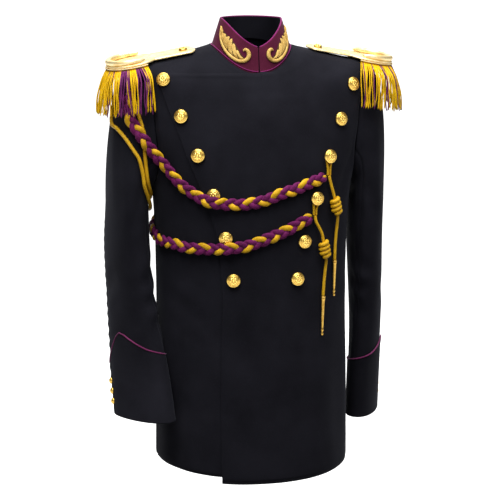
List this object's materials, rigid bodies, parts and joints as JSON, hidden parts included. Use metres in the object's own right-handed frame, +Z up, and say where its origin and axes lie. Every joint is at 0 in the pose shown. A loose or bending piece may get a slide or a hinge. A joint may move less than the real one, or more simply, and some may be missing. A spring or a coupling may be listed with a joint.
{
  "type": "double-breasted dress tunic",
  "caption": "Worn hollow double-breasted wool tunic with stand collar, fringed epaulettes, pointed piped cuffs and a plaited shoulder cord.",
  "frame": {"origin": "middle of the neck seam, where the wearer's neck and shoulders hold the coat up", "axes": "+Z up, -Y out of the coat's front, +X to the wearer's left"},
  "size_m": [0.5328, 0.2708, 0.8012],
  "materials": {
    "navy_wool": "soft matt wool cloth",
    "plum_wool": "soft matt wool cloth",
    "gilt_metal": "bright gilt",
    "gold_bullion": "metal thread embroidery",
    "gold_cord": "twisted cord",
    "purple_cord": "twisted cord"
  },
  "bodies": {
    "root": {"front_left": "navy_wool", "front_right": "navy_wool", "back_left": "navy_wool", "back_right": "navy_wool", "collar_inside": "navy_wool", "sleeve_top_left": "navy_wool", "sleeve_top_right": "navy_wool", "sleeve_under_left": "navy_wool", "sleeve_under_right": "navy_wool", "cuff_left": "navy_wool", "cuff_right": "navy_wool", "collar": "plum_wool", "collar_piping": "plum_wool", "cuff_piping_left": "plum_wool", "cuff_piping_right": "plum_wool", "collar_leaf_left": "gold_bullion", "collar_leaf_right": "gold_bullion", "button_left_1": "gilt_metal", "button_left_2": "gilt_metal", "button_left_3": "gilt_metal", "button_left_4": "gilt_metal", "button_left_5": "gilt_metal", "button_left_6": "gilt_metal", "cuff_button_left_1": "gilt_metal", "cuff_button_left_2": "gilt_metal", "cuff_button_left_3": "gilt_metal", "button_right_1": "gilt_metal", "button_right_2": "gilt_metal", "button_right_3": "gilt_metal", "button_right_4": "gilt_metal", "button_right_5": "gilt_metal", "button_right_6": "gilt_metal", "cuff_button_right_1": "gilt_metal", "cuff_button_right_2": "gilt_metal", "cuff_button_right_3": "gilt_metal", "epaulette_board_left": "gilt_metal", "epaulette_board_right": "gilt_metal", "epaulette_crescent_left": "gilt_metal", "epaulette_crescent_right": "gilt_metal", "epaulette_boss_left": "gilt_metal", "epaulette_boss_right": "gilt_metal", "epaulette_fringe_left": "gold_cord", "epaulette_fringe_right": "gold_cord", "plait_upper": "purple_cord", "plait_lower": "purple_cord", "side_cord_a": "gold_cord", "side_cord_b": "gold_cord", "loop_upper": "gold_cord", "loop_lower": "gold_cord", "tag_cord_upper": "gold_cord", "tag_cord_lower": "gold_cord", "tag_knot_upper": "gold_cord", "tag_knot_lower": "gold_cord", "ferrule_upper": "gilt_metal", "ferrule_lower": "gilt_metal"}
  },
  "joints": []
}
